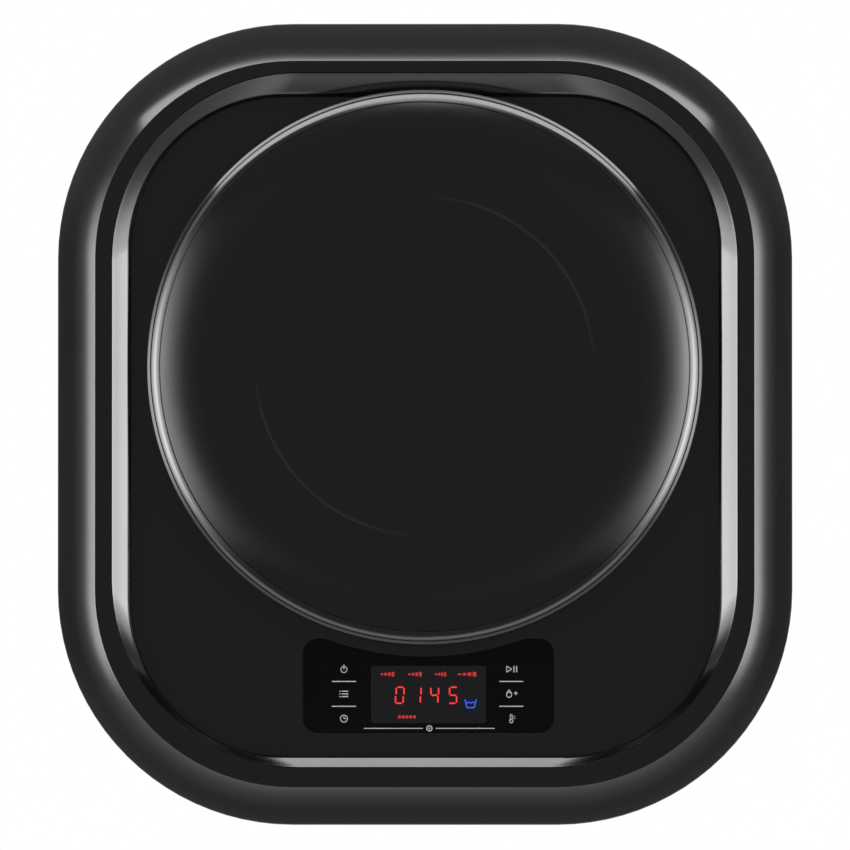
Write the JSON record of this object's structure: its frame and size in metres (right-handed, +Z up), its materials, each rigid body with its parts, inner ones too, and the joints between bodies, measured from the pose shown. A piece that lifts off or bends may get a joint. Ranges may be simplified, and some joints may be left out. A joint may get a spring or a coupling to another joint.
{
  "type": "wall mounted washing machine",
  "caption": "Compact front loading washing machine that hangs on wall anchors, with a rounded black case, a round smoked door and a control panel below it.",
  "frame": {"origin": "centre of the wall plane, on the flat back of the rear panel", "axes": "+X right seen from the front, +Y into the wall, +Z up; the door faces -Y"},
  "size_m": [0.55, 0.292, 0.6],
  "materials": {
    "gloss_black_case": "high gloss",
    "dark_case_back": "satin",
    "pad_rubber": "matt",
    "black_plastic": "satin",
    "smoked_cover": "high gloss smoked",
    "black_trim": "gloss",
    "door_glass": "clear",
    "control_black": "gloss",
    "display_glass": "gloss",
    "board_green": "satin",
    "tub_grey": "satin",
    "rubber_black": "matt",
    "gasket_grey": "matt",
    "stainless": "brushed",
    "plated_steel": "satin",
    "cast_alloy": "cast",
    "white_plastic": "satin",
    "motor_metal": "satin"
  },
  "bodies": {
    "case": {"rear_panel": "dark_case_back", "front_frame": "gloss_black_case", "front_fascia": "gloss_black_case", "front_bezel": "gloss_black_case", "hinge_bracket": "plated_steel", "hinge_pin": "plated_steel", "door_lock": "black_plastic", "control_fascia": "control_black", "display_window": "display_glass", "display_board": "board_green", "control_housing": "black_plastic", "tub_rear": "tub_grey", "tub_front": "tub_grey", "door_gasket": "gasket_grey", "gasket_clamp": "stainless", "bearing_rear": "plated_steel", "bearing_front": "plated_steel", "shaft_seal": "rubber_black", "drive_belt": "rubber_black", "motor_stator": "motor_metal", "inlet_valve": "white_plastic", "detergent_case": "white_plastic", "fill_boot": "rubber_black", "feed_hose": "rubber_black", "drain_pump": "black_plastic", "sump_hose": "rubber_black", "drain_spigot": "black_plastic", "drain_hose": "rubber_black", "cable_gland": "rubber_black", "heater": "plated_steel", "power_board": "board_green", "wall_pad_1": "pad_rubber", "wall_pad_2": "pad_rubber", "wall_pad_3": "pad_rubber", "wall_pad_4": "pad_rubber"},
    "door": {"door_cover": "smoked_cover", "door_trim": "black_trim", "door_frame": "black_plastic", "door_glass": "door_glass", "hinge_leaf": "plated_steel", "door_strike": "plated_steel"},
    "drum": {"drum_shell": "stainless", "drum_front": "stainless", "drum_back": "stainless", "drum_lifter_1": "white_plastic", "drum_lifter_2": "white_plastic", "drum_lifter_3": "white_plastic", "drum_spider": "cast_alloy", "drum_shaft": "plated_steel", "drum_pulley": "cast_alloy", "pulley_bolt": "plated_steel"},
    "rotor": {"motor_rotor": "plated_steel"},
    "impeller": {"pump_impeller": "white_plastic"},
    "lock": {"lock_pin": "plated_steel"},
    "power_key": {"key_power": "control_black"},
    "program_key": {"key_program": "control_black"},
    "delay_key": {"key_delay": "control_black"},
    "start_key": {"key_start": "control_black"},
    "rinse_key": {"key_rinse": "control_black"},
    "heat_key": {"key_heat": "control_black"}
  },
  "joints": [
    {"name": "door_hinge", "type": "hinge", "parent": "case", "child": "door", "pos_m": [-0.199, -0.268, 0.042], "axis": [0, 0, -1], "range_deg": [0, 110]},
    {"name": "drum_spin", "type": "hinge", "parent": "case", "child": "drum", "pos_m": [0, -0.05, 0.042], "axis": [0, 1, 0], "continuous": true},
    {"name": "motor_spin", "type": "hinge", "parent": "case", "child": "rotor", "pos_m": [-0.15, -0.05, -0.195], "axis": [0, 1, 0], "continuous": true},
    {"name": "pump_spin", "type": "hinge", "parent": "case", "child": "impeller", "pos_m": [0.15, -0.12, -0.195], "axis": [0, 1, 0], "continuous": true},
    {"name": "lock_slide", "type": "slide", "parent": "case", "child": "lock", "axis": [-1, 0, 0], "range_m": [0, 0.009]},
    {"name": "power_press", "type": "slide", "parent": "case", "child": "power_key", "axis": [0, 1, 0], "range_m": [0, 0.0008], "stiffness_N_per_m": 400},
    {"name": "program_press", "type": "slide", "parent": "case", "child": "program_key", "axis": [0, 1, 0], "range_m": [0, 0.0008], "stiffness_N_per_m": 400},
    {"name": "delay_press", "type": "slide", "parent": "case", "child": "delay_key", "axis": [0, 1, 0], "range_m": [0, 0.0008], "stiffness_N_per_m": 400},
    {"name": "start_press", "type": "slide", "parent": "case", "child": "start_key", "axis": [0, 1, 0], "range_m": [0, 0.0008], "stiffness_N_per_m": 400},
    {"name": "rinse_press", "type": "slide", "parent": "case", "child": "rinse_key", "axis": [0, 1, 0], "range_m": [0, 0.0008], "stiffness_N_per_m": 400},
    {"name": "heat_press", "type": "slide", "parent": "case", "child": "heat_key", "axis": [0, 1, 0], "range_m": [0, 0.0008], "stiffness_N_per_m": 400}
  ],
  "couplings": [
    {"joint": "motor_spin", "follows": "drum_spin", "ratio": 10}
  ]
}
